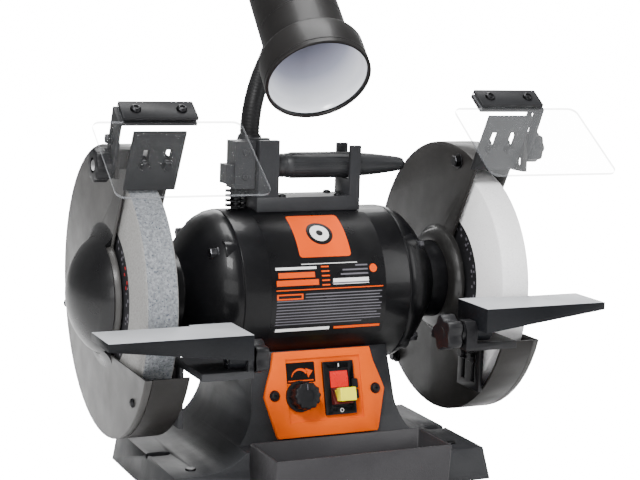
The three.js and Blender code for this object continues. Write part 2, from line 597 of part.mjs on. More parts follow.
const lamp = new THREE.Group();
lamp.position.copy(LAMP_MOUTH);
lamp.quaternion.setFromUnitVectors(new THREE.Vector3(0, 0, 1), LAMP_AXIS);
head.add(lamp);
part(lamp, 'lamp_shade', lampShade(), blackPaint);
part(lamp, 'lamp_reflector', lampReflector(), finish(0xe9edf4, 0.3));
part(lamp, 'lamp_bulb', lampBulb(), finish(0xf4f2ea, 0.3));

export default bench;
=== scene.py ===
# Eight-inch variable-speed bench grinder: the visual model over its mechanical frame.
import bmesh
import bpy
import math
from mathutils import Matrix, Vector


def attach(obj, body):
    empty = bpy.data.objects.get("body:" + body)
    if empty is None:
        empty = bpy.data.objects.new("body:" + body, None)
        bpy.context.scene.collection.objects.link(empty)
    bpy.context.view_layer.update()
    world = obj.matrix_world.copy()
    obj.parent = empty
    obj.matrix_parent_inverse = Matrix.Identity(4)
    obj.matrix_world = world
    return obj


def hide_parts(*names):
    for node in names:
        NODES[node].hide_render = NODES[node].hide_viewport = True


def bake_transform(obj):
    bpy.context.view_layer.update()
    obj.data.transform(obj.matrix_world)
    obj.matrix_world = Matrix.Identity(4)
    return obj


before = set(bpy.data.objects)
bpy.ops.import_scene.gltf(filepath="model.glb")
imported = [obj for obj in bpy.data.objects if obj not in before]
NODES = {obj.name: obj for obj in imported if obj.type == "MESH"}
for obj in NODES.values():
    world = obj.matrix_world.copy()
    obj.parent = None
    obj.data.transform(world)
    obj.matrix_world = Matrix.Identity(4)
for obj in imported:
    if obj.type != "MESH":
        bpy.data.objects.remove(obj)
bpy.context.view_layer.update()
MM = 0.001
FLOOR = Vector((0, 14.83, 0))   # shifts, in mm, from the frames that the pieces are drawn in
HEAD = Vector((0, 14.83, 162))  # the spindle's middle
X, Y, Z = Vector((1, 0, 0)), Vector((0, 1, 0)), Vector((0, 0, 1))
SIDES = (("left", -1), ("right", 1))
MOUTH = Vector((-13.6, -60, 175.9))  # the middle of the work light's mouth, and the way in
AIM = Vector((0.058, 0.739, 0.671)).normalized()
TILT = math.radians(35.5)          # of the eye shields
NECK = 8.3                         # radius of the neck and of the ball at its end
SOCKET = 150                       # from the lamp's mouth to the ball's middle
BEND = 0.428                       # how far along the neck its middle joint is

# Camera
cam = bpy.data.objects.new("camera", bpy.data.cameras.new("camera"))
bpy.context.scene.collection.objects.link(cam)
cam.data.lens, cam.data.sensor_width = 86.07, 36
right, up = Vector((0.907577, -0.418633, 0.032422)), Vector((0.033919, 0.150061, 0.988095))
cam.matrix_world = Matrix.Translation((Vector((-525.22, -1167.17, 233.55)) + HEAD) * MM) @ \
    Matrix((right, up, right.cross(up))).transposed().to_4x4()
cam.data.clip_start = 0.05
bpy.context.scene.camera = cam

# Materials


class Shader:
    """A principled material whose colour, roughness and bump come from procedural textures."""

    def __init__(self, name, **sockets):
        self.material = bpy.data.materials.new(name)
        self.material.use_nodes = True
        self.tree = self.material.node_tree
        self.surface = self.tree.nodes["Principled BSDF"]
        for key, value in sockets.items():
            self.surface.inputs[key.replace("_", " ")].default_value = value
        self.coords = self.tree.nodes.new("ShaderNodeTexCoord").outputs["Object"]
        self.normal = None

    def node(self, kind, inputs=(), **settings):
        made = self.tree.nodes.new("ShaderNode" + kind)
        for key, value in settings.items():
            setattr(made, key, value)
        for key, value in dict(inputs).items():
            if isinstance(value, bpy.types.NodeSocket):
                self.tree.links.new(value, made.inputs[key])
            else:
                made.inputs[key].default_value = value
        return made

    def stretched(self, scale):
        return self.node("Mapping", {"Vector": self.coords, "Scale": scale}).outputs[0]

    def noise(self, scale, detail=3, coords=None):
        return self.node("TexNoise", {"Vector": coords or self.coords, "Scale": scale,
                                      "Detail": detail}).outputs["Fac"]

    def ramp(self, value, *stops):
        made = self.node("ValToRGB", {"Fac": value})
        elements = made.color_ramp.elements
        while len(elements) < len(stops):
            elements.new(0.5)
        for element, (place, color) in zip(elements, stops):
            element.position, element.color = place, (*color, 1)
        return made.outputs["Color"]

    def ranged(self, value, low, high, from_low=0.3, from_high=0.7):
        return self.node("MapRange", {"Value": value, "From Min": from_low, "From Max": from_high,
                                      "To Min": low, "To Max": high}).outputs[0]

    def mixed(self, factor, a, b):
        made = self.node("Mix", data_type="RGBA")
        for socket, value in zip((made.inputs[0], made.inputs[6], made.inputs[7]), (factor, a, b)):
            if isinstance(value, bpy.types.NodeSocket):
                self.tree.links.new(value, socket)
            else:
                socket.default_value = value if isinstance(value, float) else (*value, 1)
        return made.outputs[2]

    def edges(self, radius):
        """1 on flat ground, less within the radius of an edge."""
        rounder = self.node("Bevel", {"Radius": radius}, samples=4).outputs[0]
        flat = self.node("NewGeometry").outputs["Normal"]
        return self.node("VectorMath", {0: rounder, 1: flat}, operation="DOT_PRODUCT").outputs["Value"]

    def color(self, socket):
        self.tree.links.new(socket, self.surface.inputs["Base Color"])
        return self

    def roughness(self, value, low, high):
        self.tree.links.new(self.ranged(value, low, high), self.surface.inputs["Roughness"])
        return self

    def bump(self, value, strength, distance):
        inputs = {"Height": value, "Strength": strength, "Distance": distance}
        if self.normal:
            inputs["Normal"] = self.normal
        self.normal = self.node("Bump", inputs).outputs[0]
        self.tree.links.new(self.normal, self.surface.inputs["Normal"])
        return self


def paint(name, dark, light, rough, peel=0.12, coat=0.0, wear=(0.09, 0.09, 0.095), gloss=0.2):
    """Sprayed or powder paint over metal: orange peel, dull patches, edges rubbed a little brighter."""
    s = Shader(name, Coat_Weight=coat, Coat_Roughness=0.08, Specular_IOR_Level=gloss)
    patches = s.noise(14, 5)
    edge = s.ranged(s.edges(0.0007), 0.45, 0, 0.8, 0.97)
    worn = s.node("Math", {0: edge, 1: s.ranged(s.noise(60, 5), 0, 1, 0.42, 0.6)},
                  operation="MULTIPLY").outputs[0]
    s.color(s.mixed(worn, s.ramp(patches, (0.35, dark), (0.65, light)), wear))
    s.roughness(s.noise(45, 6), rough - 0.05, rough + 0.07)
    return s.bump(s.noise(900, 2), peel, 0.0004).bump(s.noise(160, 2), peel / 2, 0.0006).material


def stone(name, shades, pits, size, depth=0.5):
    """Bonded abrasive: fine packed grains, dark pits between them and a few pale ones."""
    s = Shader(name, Roughness=0.95, Specular_IOR_Level=0.2)
    grains = s.node("TexVoronoi", {"Vector": s.coords, "Scale": size}, feature="F1")
    tone = s.ramp(s.noise(size * 0.5, 5), (0.36, shades[0]), (0.5, shades[1]), (0.66, shades[2]))
    broad = s.mixed(s.ranged(s.noise(24, 4), 0, 0.3), tone, shades[0])
    dark = s.ranged(grains.outputs["Color"], 1, 0, 0.1, 0.24)
    s.color(s.mixed(dark, broad, pits))
    return s.bump(grains.outputs["Distance"], depth, 0.0006).bump(s.noise(size * 2, 4), depth,
                                                                  0.0005).material


def metal(name, dark, light, rough, grain=(1, 1, 1), fine=350, metallic=1.0):
    """Cut metal: tool marks along one direction and a little staining."""
    s = Shader(name, Metallic=metallic)
    marks = s.noise(fine, 4, s.stretched(grain))
    stains = s.noise(22, 5)
    s.color(s.mixed(s.ranged(stains, 0, 0.6), s.ramp(marks, (0.3, dark), (0.7, light)), dark))
    return s.roughness(marks, rough - 0.08, rough + 0.12).bump(marks, 0.12, 0.0003).material


def plastic(name, dark, light, rough, texture=700, depth=0.15, **sockets):
    s = Shader(name, **sockets)
    s.color(s.ramp(s.noise(25, 4), (0.35, dark), (0.65, light)))
    return s.roughness(s.noise(60, 5), rough - 0.05, rough + 0.08).bump(s.noise(texture, 2), depth,
                                                                        0.0003).material


M = {
    "cast": paint("cast_paint", (0.0145, 0.015, 0.0168), (0.023, 0.0235, 0.0258), 0.45, 0.3),
    "bracket": paint("bracket_paint", (0.009, 0.0092, 0.01), (0.014, 0.0143, 0.0155), 0.5, 0.3, 0,
                     (0.05, 0.05, 0.05), 0.12),
    "tray": paint("tray_paint", (0.021, 0.02, 0.022), (0.03, 0.029, 0.031), 0.46, 0.4),
    "guard": paint("guard_paint", (0.037, 0.0358, 0.0345), (0.054, 0.0525, 0.051), 0.38, 0.14, 0.05,
                   (0.12, 0.12, 0.12)),
    # Painted shade: the guard bodies take a darker copy of the guard paint, for the shade on their inner
    # plates.
    "guard_body_painted_shade": paint("guard_body_paint_painted_shade", (0.011, 0.0102, 0.0098), (0.018, 0.0168, 0.016), 0.42, 0.14, 0.05,
                        (0.08, 0.075, 0.07), 0.14),
    "motor": paint("motor_paint", (0.0014, 0.0014, 0.0018), (0.003, 0.003, 0.0037), 0.36, 0.1, 0.08,
                   (0.012, 0.012, 0.012), 0.14),
    "boss": paint("boss_paint", (0.006, 0.0058, 0.0057), (0.01, 0.0097, 0.0093), 0.32, 0.1, 0.2,
                  (0.04, 0.04, 0.04), 0.3),
    "dome": paint("dome_paint", (0.004, 0.004, 0.0045), (0.008, 0.008, 0.0085), 0.3, 0.08, 0.12,
                  (0.03, 0.03, 0.03), 0.22),
    "lamp": paint("lamp_paint", (0.005, 0.0046, 0.0046), (0.0095, 0.0088, 0.0087), 0.42, 0.06, 0.03,
                  (0.02, 0.02, 0.02), 0.16),
    "neck": paint("neck_paint", (0.006, 0.006, 0.0065), (0.01, 0.01, 0.0105), 0.5, 0.06, 0,
                  (0.015, 0.015, 0.015), 0.15),
    "orange": plastic("orange_panel", (0.68, 0.085, 0.0), (0.75, 0.1, 0.0), 0.4, 900, 0.08,
                      Specular_IOR_Level=0.08),
    "black": plastic("black_plastic", (0.004, 0.004, 0.005), (0.008, 0.008, 0.009), 0.45,
                     Specular_IOR_Level=0.2),
    "grip": plastic("grip_plastic", (0.009, 0.0095, 0.011), (0.016, 0.0165, 0.018), 0.45, 900, 0.2,
                    Specular_IOR_Level=0.3),
    "red": plastic("rocker_red", (0.62, 0.006, 0.004), (0.7, 0.012, 0.008), 0.25, 500, 0.04),
    "yellow": plastic("key_yellow", (0.85, 0.78, 0.0), (0.92, 0.86, 0.01), 0.3, 500, 0.05),
    "rubber": plastic("foot_rubber", (0.006, 0.006, 0.006), (0.014, 0.014, 0.014), 0.75, 400, 0.4),
    "grey_stone": stone("grey_stone", ((0.145, 0.153, 0.166), (0.2, 0.212, 0.226), (0.282, 0.294, 0.307)),
                        (0.07, 0.08, 0.1), 1000, 0.8),
    "grey_face": stone("grey_face", ((0.19, 0.187, 0.18), (0.222, 0.219, 0.213), (0.255, 0.252, 0.247)),
                       (0.17, 0.165, 0.16), 1100, 0.25),
    "white_stone": stone("white_stone", ((0.87, 0.865, 0.87), (0.91, 0.905, 0.91), (0.95, 0.945, 0.95)),
                         (0.8, 0.79, 0.79), 1100, 0.25),
    "steel": metal("turned_steel", (0.32, 0.32, 0.33), (0.56, 0.56, 0.58), 0.32),
    "zinc": metal("zinc_plate", (0.45, 0.45, 0.46), (0.66, 0.66, 0.67), 0.3, fine=200),
    "dark_steel": metal("dark_steel", (0.012, 0.012, 0.013), (0.03, 0.03, 0.032), 0.35, fine=200),
    "bolt": metal("black_bolt", (0.03, 0.03, 0.033), (0.08, 0.08, 0.085), 0.3, fine=200),
    "rest_top": metal("machined_top", (0.36, 0.37, 0.39), (0.5, 0.51, 0.53), 0.45, (1, 14, 14), 120, 0.35),
    "rest_side": paint("rest_paint", (0.0035, 0.004, 0.005), (0.0065, 0.007, 0.0085), 0.45, 0.3, 0,
                       (0.04, 0.04, 0.045), 0.12),
    "lamination": metal("stacked_sheets", (0.16, 0.16, 0.17), (0.38, 0.38, 0.4), 0.45, (40, 1, 1), 60),
    "copper": metal("copper_wire", (0.42, 0.14, 0.05), (0.72, 0.3, 0.12), 0.35, (1, 30, 30), 70),
    "tin": metal("drawn_can", (0.5, 0.5, 0.52), (0.68, 0.68, 0.7), 0.3, (1, 10, 10), 100),
    "board": plastic("circuit_board", (0.01, 0.11, 0.04), (0.02, 0.17, 0.06), 0.4),
    "bulb": plastic("frosted_glass", (0.8, 0.82, 0.86), (0.88, 0.9, 0.93), 0.3, 300, 0.03),
    "label": plastic("label_black", (0.003, 0.003, 0.0035), (0.006, 0.006, 0.0065), 0.3, 600, 0.03,
                     Specular_IOR_Level=0.16),
    "label_orange": plastic("label_orange", (0.62, 0.062, 0.0), (0.7, 0.075, 0.0), 0.5, 600, 0.03,
                            Specular_IOR_Level=0.05),
    "label_white": plastic("label_white", (0.7, 0.7, 0.69), (0.8, 0.8, 0.79), 0.4, 600, 0.03),
    "label_grey": plastic("label_grey", (0.09, 0.085, 0.1), (0.12, 0.115, 0.13), 0.5, 600, 0.03,
                          Specular_IOR_Level=0.1),
    "maroon": plastic("rocker_maroon", (0.06, 0.006, 0.006), (0.1, 0.01, 0.01), 0.3, 500, 0.04),
    "label_red": plastic("label_red", (0.3, 0.012, 0.012), (0.38, 0.02, 0.02), 0.5, 600, 0.03,
                         Specular_IOR_Level=0.1),
    "paper": plastic("blotter_paper", (0.008, 0.008, 0.009), (0.016, 0.016, 0.018), 0.7, 300, 0.3,
                     Specular_IOR_Level=0.15),
}


def clear_sheet(name, color, alpha):
    """Clear plastic: nearly all see-through, glossy, with faint scuffs."""
    s = Shader(name, Base_Color=(*color, 1), Alpha=alpha, IOR=1.5)
    return s.roughness(s.noise(70, 6), 0.02, 0.12).bump(s.noise(40, 2), 0.02, 0.001).material


M["clear_left"] = clear_sheet("clear_left", (0.8, 0.82, 0.84), 0.006)
M["clear_right"] = clear_sheet("clear_right", (0.8, 0.82, 0.84), 0.035)
M["clear_edge"] = clear_sheet("clear_edge", (0.13, 0.135, 0.145), 0.62)


def enamel():
    """The white-enamelled inside of the lamp, with painted shade that darkens it with depth towards the
    lamp's socket.
    """
    s = Shader("lamp_enamel_painted_shade", Coat_Weight=0.5, Coat_Roughness=0.1, Roughness=0.25)
    inside = s.node("VectorMath", {0: s.coords, 1: AIM}, operation="DOT_PRODUCT").outputs["Value"]
    mouth = (HEAD + MOUTH).dot(AIM) * MM
    # Painted shade: the colour goes from white at the mouth to dark grey deep inside the lamp.
    depth = s.ranged(inside, 0, 1, mouth + 0.014, mouth + 0.06)
    s.color(s.ramp(depth, (0.0, (0.93, 0.95, 1.0)), (0.42, (0.4, 0.41, 0.5)), (1.0, (0.15, 0.15, 0.19))))
    return s.bump(s.noise(120, 2), 0.03, 0.0004).material


M["enamel"] = enamel()

# Shapes, drawn in millimetres


def drawn(bm, name, finish, body, at=HEAD, bevel=0.0, crease=32, hides=(), segments=2):
    """Makes a piece of the drawing, riding on a body, in place of the CAD nodes it hides."""
    bmesh.ops.remove_doubles(bm, verts=bm.verts, dist=1e-3)
    bmesh.ops.recalc_face_normals(bm, faces=bm.faces)
    for v in bm.verts:
        v.co = (v.co + at) * MM
    mesh = bpy.data.meshes.new(name)
    bm.to_mesh(mesh)
    bm.free()
    for finish_one in finish if isinstance(finish, tuple) else (finish,):
        mesh.materials.append(M[finish_one])
    ob = bpy.data.objects.new(name, mesh)
    bpy.context.scene.collection.objects.link(ob)
    softened(ob, bevel, crease, segments)
    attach(ob, body)
    if hides:
        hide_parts(*hides)
    return ob


def softened(ob, bevel, crease=32, segments=2):
    for p in ob.data.polygons:
        p.use_smooth = True
    ob.data.set_sharp_from_angle(angle=math.radians(crease))
    if bevel:
        mod = ob.modifiers.new("edges", "BEVEL")
        mod.width, mod.segments, mod.limit_method = bevel * MM, segments, "ANGLE"
        mod.angle_limit, mod.harden_normals = math.radians(crease), True


def turning(axis):
    """Rows of a frame whose third axis is the given one."""
    w = Vector(axis).normalized()
    u = (Z if abs(w.z) < 0.9 else X).cross(w).normalized()
    return u, w.cross(u), w


def lathe(bm, profile, axis=X, origin=(0, 0, 0), steps=48, closed=False, slot=0):
    """A profile of (along, radius) pairs turned about an axis through a point."""
    u, v, w = turning(axis)
    origin = Vector(origin)
    rings = []
    for along, radius in profile:
        if radius < 1e-6:
            rings.append([bm.verts.new(origin + w * along)] * steps)
        else:
            rings.append([bm.verts.new(origin + w * along + (u * math.cos(t) + v * math.sin(t)) * radius)
                          for t in (2 * math.pi * i / steps for i in range(steps))])
    pairs = list(zip(rings, rings[1:])) + ([(rings[-1], rings[0])] if closed else [])
    for a, b in pairs:
        for i in range(steps):
            j = (i + 1) % steps
            corners = list(dict.fromkeys((a[i], a[j], b[j], b[i])))
            if len(corners) > 2:
                bm.faces.new(corners).material_index = slot
    return bm


def slab(bm, points, axes, low, high, slot=0):
    """A flat outline in the plane of the first two axes, thick along the third."""
    u, v, w = (Vector(a) for a in axes[:3])
    origin = Vector(axes[3]) if len(axes) > 3 else Vector()
    rows = [[bm.verts.new(origin + u * p[0] + v * p[1] + w * h) for p in points] for h in (low, high)]
    bm.faces.new(rows[0]).material_index = slot
    bm.faces.new(rows[1]).material_index = slot
    for i in range(len(points)):
        j = (i + 1) % len(points)
        bm.faces.new((rows[0][i], rows[0][j], rows[1][j], rows[1][i])).material_index = slot
    return bm


def rounded(points, radius, steps=4):
    """The outline with its corners rounded; radius is one number or one for each corner."""
    made = []
    for i, p in enumerate(points):
        p, a, b = Vector(p), Vector(points[i - 1]), Vector(points[(i + 1) % len(points)])
        r = radius[i] if isinstance(radius, (list, tuple)) else radius
        da, db = (a - p).normalized(), (b - p).normalized()
        half = da.angle(db) / 2
        if r <= 0 or half > 1.54:
            made.append(tuple(p))
            continue
        reach = min(r / math.tan(half), 0.49 * min((a - p).length, (b - p).length))
        start, end = p + da * reach, p + db * reach
        for k in range(steps + 1):
            t = k / steps
            made.append(tuple(start * (1 - t) ** 2 + p * (2 * t * (1 - t)) + end * t * t))
    return made


def rectangle(x0, x1, y0, y1):
    return [(x0, y0), (x1, y0), (x1, y1), (x0, y1)]


def box(bm, x0, x1, y0, y1, z0, z1, slot=0):
    return slab(bm, rectangle(x0, x1, y0, y1), (X, Y, Z), z0, z1, slot)


def sweep(bm, points, radius_at, sides=16, slot=0):
    """A tube along a line of points; radius_at gives its radius at each point's index."""
    points = [Vector(p) for p in points]
    u, previous, first, last = None, None, None, None
    for i, p in enumerate(points):
        ahead = (points[min(i + 1, len(points) - 1)] - points[max(i - 1, 0)]).normalized()
        u = turning(ahead)[0] if u is None else (u - ahead * u.dot(ahead)).normalized()
        v = ahead.cross(u)
        ring = [bm.verts.new(p + (u * math.cos(t) + v * math.sin(t)) * radius_at(i))
                for t in (2 * math.pi * k / sides for k in range(sides))]
        for k in range(sides if previous else 0):
            j = (k + 1) % sides
            bm.faces.new((previous[k], previous[j], ring[j], ring[k])).material_index = slot
        first, last, previous = first or ring, ring, ring
    bm.faces.new(first).material_index = slot
    bm.faces.new(last).material_index = slot
    return bm


def hex_bolt(bm, at, axis, across=10, height=5, washer=0.0, slot=0):
    """A hexagon head with its chamfer and a washer under it; at is on the surface it is screwed to."""
    w = Vector(axis).normalized()
    foot = Vector(at) + w * 1.2 * (washer > 0)
    if washer:
        lathe(bm, [(-0.2, 0), (-0.2, washer), (0.9, washer), (1.2, washer - 0.3), (1.2, 0)], w, at, 24,
              slot=slot)
    r = across / math.sqrt(3)
    lathe(bm, [(-0.2, 0), (-0.2, r), (height - 0.9, r), (height, r * 0.86), (height, 0)], w, foot, 6,
          slot=slot)


def screw(bm, at, axis, radius=4, height=2.4, slot=0):
    """A domed head with a cross in it."""
    u, v, w = turning(axis)
    lathe(bm, [(-0.3, 0), (-0.3, radius), (height * 0.3, radius), (height * 0.75, radius * 0.82),
               (height, radius * 0.45), (height, radius * 0.3), (height - 0.9, radius * 0.2),
               (height - 0.9, 0)], w, at, 20, slot=slot)
    for a, b in ((u, v), (v, -u)):
        slab(bm, rectangle(-radius * 0.52, radius * 0.52, -radius * 0.09, radius * 0.09), (a, b, w, at),
             height - 0.35, height + 0.06, slot + 1)


def socket_screw(bm, at, axis, radius=3, height=1.8, slot=0):
    """A button head with a hexagon socket."""
    w = Vector(axis).normalized()
    lathe(bm, [(-0.3, 0), (-0.3, radius), (height * 0.25, radius), (height * 0.7, radius * 0.88),
               (height, radius * 0.6), (height, radius * 0.5)], w, at, 18, slot=slot)
    lathe(bm, [(height, radius * 0.5), (height - 1.1, radius * 0.48), (height - 1.1, 0)], w, at, 6,
          slot=slot + 1)


def lobed(bm, radius, depth, lobes, axes, low, high, steps=72, dish=0.0, slot=0):
    """A moulded knob with rounded lobes and soft rims."""
    u, v, w, origin = axes
    rings = []
    for h, inset in ((low, 0.9), (low + 0.9, 0), (high - 1.4, 0), (high - 0.4, 0.5), (high, 1.5),
                     (high, radius * 0.55), (high - dish, radius * 0.45), (high - dish, 0.02)):
        ring = []
        for i in range(steps):
            t = 2 * math.pi * i / steps
            fade = 1 if inset < radius * 0.4 else 0
            reach = radius - inset - fade * depth * (0.5 - 0.5 * math.cos(lobes * t))
            ring.append(bm.verts.new(Vector(origin) + (u * math.cos(t) + v * math.sin(t)) * reach + w * h))
        rings.append(ring)
    bm.faces.new(rings[0]).material_index = slot
    bm.faces.new(rings[-1]).material_index = slot
    for a, b in zip(rings, rings[1:]):
        for i in range(steps):
            j = (i + 1) % steps
            bm.faces.new((a[i], a[j], b[j], b[i])).material_index = slot


def new():
    return bmesh.new()


# CAD nodes that keep their shape: softened edges and a finish each


def kept(finish, bevel, *names, crease=32):
    for name in names:
        ob = NODES[name]
        ob.data.materials.clear()
        ob.data.materials.append(M[finish])
        weld = ob.modifiers.new("weld", "WELD")
        weld.merge_threshold = 1e-5
        softened(ob, bevel, crease)


def both(*names):
    return [f"{side}_{name}" for side, _ in SIDES for name in names]


kept("cast", 1.2, "base_casting", "dresser_cradle")
kept("tray", 1.2, "quench_tray")
kept("guard", 0.8, *both("guard_cover"))
# The guard bodies' darker copy of the guard paint is painted shade.
kept("guard_body_painted_shade", 0.8, *both("guard_body"))
kept("bracket", 0.5, *both("spark_deflector", "shield_bracket", "shield_clamp"))
kept("cast", 0.5, "left_rest_bracket")
# Painted shade: the right bracket takes the near-black plastic finish instead of the cast paint of the left
# one, for the shadow under the right rest.
kept("black", 0.5, "right_rest_bracket")
kept("motor", 0.6, "motor_housing", *both("end_bell", "inner_flange"))
kept("steel", 0.4, "spindle", *both("outer_flange", "spindle_nut", "bearing"))
kept("dark_steel", 0.3, "dresser_cutters")
kept("lamination", 0.3, "stator_core", "rotor_core")
kept("copper", 1.5, "stator_windings")
kept("grey_stone", 0.7, "left_wheel")
NODES["left_wheel"].data.materials.append(M["grey_face"])
for p in NODES["left_wheel"].data.polygons:
    p.material_index = 1 if abs(p.normal.x) > 0.7 else 0
kept("white_stone", 0.7, "right_wheel")
for side, _ in SIDES:
    kept(f"clear_{side}", 0.3, f"{side}_eye_shield")
    sheet = NODES[f"{side}_eye_shield"].data
    sheet.materials.append(M["clear_edge"])
    facing = Vector((0, -math.sin(TILT), math.cos(TILT)))
    for p in sheet.polygons:
        p.material_index = 0 if abs(p.normal.dot(facing)) > 0.9 else 1
kept("orange", 0.8, "control_panel")
kept("black", 0.4, "switch_housing", "cord_gland", "speed_knob", *both("rest_knob", "shield_knob"))
kept("red", 0.7, "switch_rocker")
kept("yellow", 0.8, "safety_key")
kept("rubber", 0.6, *[n for n in NODES if n.startswith("rubber_foot")])
kept("board", 0.2, "speed_board")
kept("tin", 0.5, "run_capacitor")
kept("rest_top", 0.8, *both("tool_rest"))
kept("neck", 0.5, "gooseneck_lower", "gooseneck_upper")
kept("lamp", 0.5, "lamp_shade")
kept("enamel", 0.3, "lamp_reflector")
kept("bulb", 0.4, "lamp_bulb")
kept("grip", 0.8, "dresser_handle")

# Floor and light
FLOOR_GLOW = 16.0
WORLD = 0.32
floor_mesh = bpy.data.meshes.new("floor")
floor_mesh.from_pydata([(-6, -6, 0), (6, -6, 0), (6, 6, 0), (-6, 6, 0)], [], [(0, 1, 2, 3)])
floor = bpy.data.objects.new("floor", floor_mesh)
bpy.context.scene.collection.objects.link(floor)
backdrop = Shader("floor_pale", Base_Color=(0.9, 0.9, 0.9, 1), Roughness=0.9, Specular_IOR_Level=0.0)
backdrop.surface.inputs["Emission Color"].default_value = (1, 1, 1, 1)
lit = backdrop.node("MapRange", {"Value": backdrop.node("LightPath").outputs["Is Camera Ray"], "To Min": 0.0,
                                 "To Max": FLOOR_GLOW}).outputs[0]
backdrop.tree.links.new(lit, backdrop.surface.inputs["Emission Strength"])
floor_mesh.materials.append(backdrop.material)

world = bpy.data.worlds.new("studio")
bpy.context.scene.world = world
world.use_nodes = True
background = world.node_tree.nodes["Background"]
seen = world.node_tree.nodes.new("ShaderNodeLightPath").outputs["Is Camera Ray"]
level = world.node_tree.nodes.new("ShaderNodeMapRange")
level.inputs["To Min"].default_value, level.inputs["To Max"].default_value = WORLD, FLOOR_GLOW + WORLD
world.node_tree.links.new(seen, level.inputs["Value"])
world.node_tree.links.new(level.outputs[0], background.inputs["Strength"])
background.inputs["Color"].default_value = (1, 1, 1, 1)


def light(name, at, target, size, power):
    lamp = bpy.data.objects.new(name, bpy.data.lights.new(name, "AREA"))
    bpy.context.scene.collection.objects.link(lamp)
    lamp.data.shape, lamp.data.size, lamp.data.size_y, lamp.data.energy = "RECTANGLE", *size, power
    lamp.location = at
    lamp.rotation_euler = (Vector(target) - Vector(at)).to_track_quat("-Z", "Y").to_euler()


light("key", (-1.1, -1.3, 1.7), (0, 0, 0.2), (0.6, 0.6), 70)
light("fill", (1.6, -1.0, 0.9), (0, 0, 0.2), (0.9, 1.2), 24)
light("top", (0.1, 0.3, 1.9), (0, 0, 0.2), (1.1, 0.8), 60)
light("front", (-0.9, -1.35, 0.45), (0, 0, 0.25), (1.2, 0.5), 11)
light("rear", (0.6, 1.6, 0.9), (0, 0, 0.2), (1.2, 0.8), 16)

# Work light: shade, reflector, bulb and a ribbed neck in two halves that meet at its middle joint, the upper
# half riding on the neck's upper body
def neck_line():
    """The neck's centreline: a centripetal Catmull-Rom curve through the same points as its frame."""
    ends = [MOUTH + AIM * 165, MOUTH + AIM * SOCKET]
    through = [Vector(p) for p in (
        (-36, 27, 117.3), (-36, 27, 131), (-33, 29, 150), (-24, 37, 171), (-8, 54, 192), (7, 77, 211),
        (17, 101, 229), (21, 118.2, 249), (18.5, 118.2, 269), (11, 105, 286), (3.5, 86, 295.5))] + ends
    padded = [through[0] * 2 - through[1]] + through + [through[-1] * 2 - through[-2]]
    fine = []
    for a, b, c, d in zip(padded, padded[1:], padded[2:], padded[3:]):
        t = [0.0]
        for p, q in ((a, b), (b, c), (c, d)):
            t.append(t[-1] + max((q - p).length, 1e-4) ** 0.5)
        for k in range(40):
            s = t[1] + (t[2] - t[1]) * k / 40
            ab = a.lerp(b, s / t[1])
            bc = b.lerp(c, (s - t[1]) / (t[2] - t[1]))
            cd = c.lerp(d, (s - t[2]) / (t[3] - t[2]))
            abc = ab.lerp(bc, s / t[2])
            bcd = bc.lerp(cd, (s - t[1]) / (t[3] - t[1]))
            fine.append(abc.lerp(bcd, (s - t[1]) / (t[2] - t[1])))
    fine.append(through[-1])
    return fine


def spaced(points, step):
    """The line again, with its points one step apart."""
    made, left = [points[0].copy()], step
    for a, b in zip(points, points[1:]):
        length = (b - a).length
        while left <= length:
            made.append(a.lerp(b, left / length))
            left += step
        left -= length
    return made


ribs = spaced(neck_line(), 0.9)
bend = round(len(ribs) * BEND)
near, far = [(HEAD + ribs[bend + k]) * MM for k in (-26, 26)]


def hose(name, start, end):
    mesh = bpy.data.meshes.new(name)
    bm = sweep(new(), ribs[start:end], lambda i: (NECK, 8.25, 7.95)[(i + start) % 3], 20)
    for v in bm.verts:
        v.co = (v.co + HEAD) * MM
    bm.to_mesh(mesh)
    bm.free()
    mesh.materials.append(M["neck"])
    ob = bpy.data.objects.new(name, mesh)
    bpy.context.scene.collection.objects.link(ob)
    softened(ob, 0, 80)
    return ob


hose_low = hose("neck_hose_low", 0, bend + 30)
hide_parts("gooseneck_lower")
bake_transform(hose_low)
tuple(near)
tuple(far)
hose_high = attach(hose("neck_hose_high", bend + 29, len(ribs)), "neck_upper")
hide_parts("gooseneck_upper")

# The ball at the neck's end, which the shade's socket turns on
bm = new()
lathe(bm, [(NECK * math.sin(math.radians(a)), NECK * math.cos(math.radians(a))) for a in range(-90, 91, 9)],
      AIM, MOUTH + AIM * SOCKET, 40)
drawn(bm, "neck_ball", "dark_steel", "neck_upper")

bm = new()
lathe(bm, [(117.2, 8.5), (117.2, 11), (119, 11.3), (121, 10.8), (125, 9.6), (126, 8.5)], Z, (-36, 27, 0), 32,
      True)
drawn(bm, "neck_ferrule", "black", "base", bevel=0.3)

bm = new()
socket = [(146, 7.6), (144, 6.3), (142, 3.5), (141.3, 0)]
lathe(bm, [(130.5, 0), (129.5, 14), (126, 20), (121.5, 26), (114, 31), (108, 32.3), (31, 33), (28, 34.5),
           (25.5, 38), (24, 41.4), (3, 40.9), (1.2, 40.4), (0.2, 40.9), (0, 41.6), (0, 42.7), (0.6, 43.3),
           (3.6, 43.3), (4, 43), (4.5, 43),
           (4.9, 43.3), (25.5, 43.1), (27.6, 42.3), (29.1, 40.4), (30.4, 37.4), (31.8, 35.7), (33.4, 35.1),
           (35, 35), (58, 34.9), (58.4, 34.6), (59.2, 34.6), (59.6, 34.9), (108, 34.5), (114, 33.8),
           (119.5, 31.8), (124, 28.6), (128, 24), (131, 18), (132.2, 14), (132.7, 11.6), (134, 11),
           (144.8, 11),
           (146, 10)] + socket, AIM, MOUTH, 96)
drawn(bm, "lamp_shade_turned", "lamp", "lamp", crease=28, hides=("lamp_shade",))

